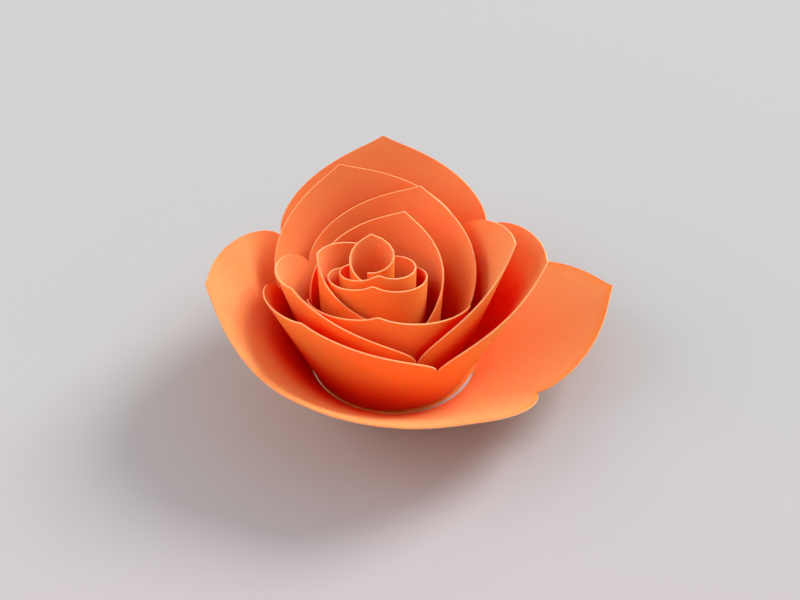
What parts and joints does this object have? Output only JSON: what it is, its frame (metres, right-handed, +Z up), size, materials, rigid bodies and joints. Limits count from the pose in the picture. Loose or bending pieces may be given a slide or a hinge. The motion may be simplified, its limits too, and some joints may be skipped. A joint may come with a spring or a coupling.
{
  "type": "paper flower",
  "caption": "Rolled paper flower: a spiral-cut strip of card with pointed petals, rolled up from its free end and standing on the round tab that closes it underneath.",
  "frame": {"origin": "on the table, under the middle of the round tab", "axes": "+Z up, out of the flower; +X to the right and +Y to the back as seen in the picture"},
  "size_m": [0.072, 0.0694, 0.031],
  "materials": {
    "card": "smooth matte coloured card, dyed through, with a slightly paler cut edge"
  },
  "bodies": {
    "root": {"rolled_petal_strip": "card"}
  },
  "joints": []
}
